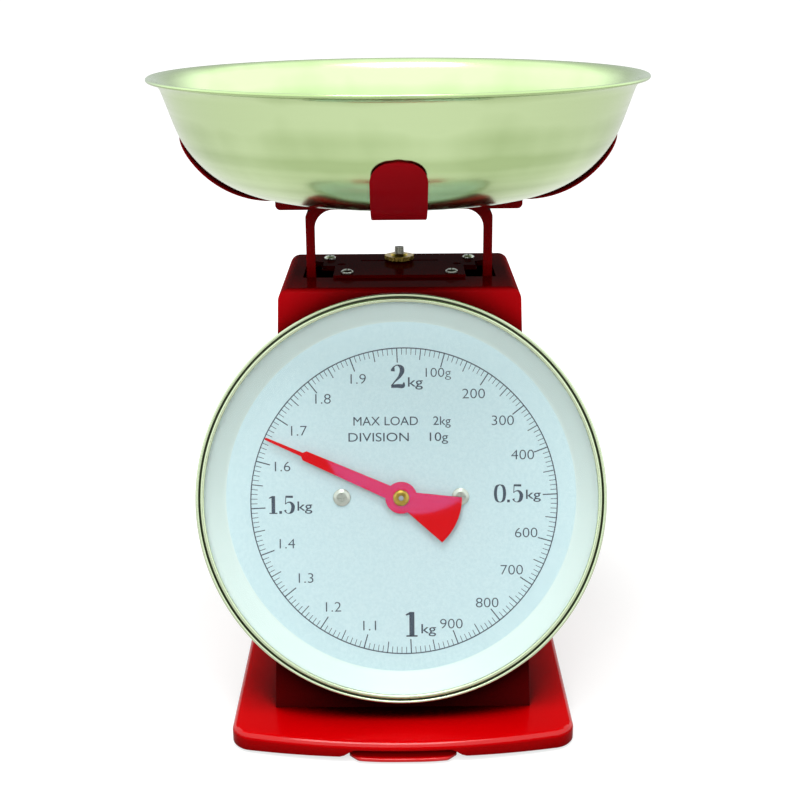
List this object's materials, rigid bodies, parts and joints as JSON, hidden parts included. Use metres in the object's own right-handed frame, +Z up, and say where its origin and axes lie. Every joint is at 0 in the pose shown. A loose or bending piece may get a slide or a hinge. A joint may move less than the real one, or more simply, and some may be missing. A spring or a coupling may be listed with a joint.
{
  "type": "kitchen scale",
  "caption": "Mechanical kitchen scale: red wedge case on a pressed base, round sloping dial with a pointer, sprung platform and a lift-off steel pan.",
  "frame": {"origin": "on the table, under the middle of the whole scale seen from above", "axes": "+Z is up, -Y is the way the dial faces, +X is to the right of someone reading the dial"},
  "size_m": [0.2426, 0.2478, 0.3055],
  "materials": {
    "case_red": "glossy",
    "support_red": "glossy",
    "pan_steel": "satin",
    "screw_steel": "bright zinc plate",
    "plain_steel": "plain mill finish",
    "brass": "polished",
    "dial_white": "glossy",
    "card_blue": "semi-matt printed card",
    "gasket_white": "matt",
    "lens_clear": "clear and glossy",
    "bezel_metal": "satin, champagne anodised",
    "pointer_red": "glossy",
    "foot_rubber": "matt",
    "guide_plastic": "matt"
  },
  "bodies": {
    "case": {"base_pan": "case_red", "rubber_feet": "foot_rubber", "case_shell": "case_red", "case_screws": "screw_steel", "rear_cover": "case_red", "cover_screws": "screw_steel", "hanger_plate": "support_red", "hanger_screws": "screw_steel", "dial_pan": "dial_white", "dial_card": "card_blue", "dial_screws": "screw_steel", "lens_gasket": "gasket_white", "dial_lens": "lens_clear", "bezel_ring": "bezel_metal", "movement_bracket": "plain_steel", "rack_guide": "guide_plastic", "front_bush": "brass", "rear_bush": "brass", "upper_pivot_rod": "plain_steel", "lower_pivot_rod": "plain_steel", "left_spring": "plain_steel", "right_spring": "plain_steel"},
    "pointer_train": {"pointer_shaft": "plain_steel", "pinion": "brass", "shaft_collar": "plain_steel", "pointer_hub": "brass", "pointer": "pointer_red", "pointer_nut": "brass"},
    "rack_rod": {"rack": "brass", "rack_pin": "plain_steel"},
    "platform": {"carriage_frame": "support_red", "spring_yoke": "plain_steel", "rack_bracket": "plain_steel", "carriage_rivets": "plain_steel", "link_pins": "plain_steel", "pan_support": "support_red", "support_rivets": "plain_steel"},
    "upper_parallel_link": {"upper_link": "plain_steel"},
    "lower_parallel_link": {"lower_link": "plain_steel"},
    "adjusting_nut": {"zero_nut": "brass"},
    "adjusting_screw": {"zero_screw": "plain_steel", "spring_hanger": "plain_steel"},
    "weighing_pan": {"pan": "pan_steel"}
  },
  "joints": [
    {"name": "platform_slide", "type": "slide", "parent": "case", "child": "platform", "axis": [0, 0, -1], "range_m": [0, 0.01785], "stiffness_N_per_m": 1300, "springref_m": -0.0058, "deforming": ["left_spring", "right_spring"]},
    {"name": "rack_slide", "type": "slide", "parent": "case", "child": "rack_rod", "axis": [0, -0.2756, -0.9613], "range_m": [-0.00001, 0.0186]},
    {"name": "pointer_spin", "type": "hinge", "parent": "case", "child": "pointer_train", "pos_m": [0, -0.06067, 0.10892], "axis": [0, -0.9613, 0.2756], "range_deg": [-427, 0.5]},
    {"name": "upper_link_swing", "type": "hinge", "parent": "case", "child": "upper_parallel_link", "pos_m": [0, 0.04369, 0.17637], "axis": [1, 0, 0], "range_deg": [-0.05, 24.6]},
    {"name": "lower_link_swing", "type": "hinge", "parent": "case", "child": "lower_parallel_link", "pos_m": [0, 0.04369, 0.06637], "axis": [1, 0, 0], "range_deg": [-0.05, 24.6]},
    {"name": "pan_lift", "type": "slide", "parent": "platform", "child": "weighing_pan", "axis": [0, 0, 1], "range_m": [0, 0.06]},
    {"name": "zero_screw_slide", "type": "slide", "parent": "case", "child": "adjusting_screw", "axis": [0, 0, 1], "range_m": [-0.0012, 0.0012]},
    {"name": "zero_nut_turn", "type": "hinge", "parent": "case", "child": "adjusting_nut", "pos_m": [0, 0.02515, 0.2078], "axis": [0, 0, 1], "range_deg": [-541, 541]}
  ],
  "couplings": [
    {"joint": "rack_slide", "follows": "platform_slide", "ratio": 1.0403},
    {"joint": "pointer_spin", "follows": "platform_slide", "rad_per_m": -416.12},
    {"joint": "upper_link_swing", "follows": "platform_slide", "rad_per_m": 23.993},
    {"joint": "lower_link_swing", "follows": "platform_slide", "rad_per_m": 23.993},
    {"joint": "zero_nut_turn", "follows": "zero_screw_slide", "rad_per_m": -7854}
  ]
}
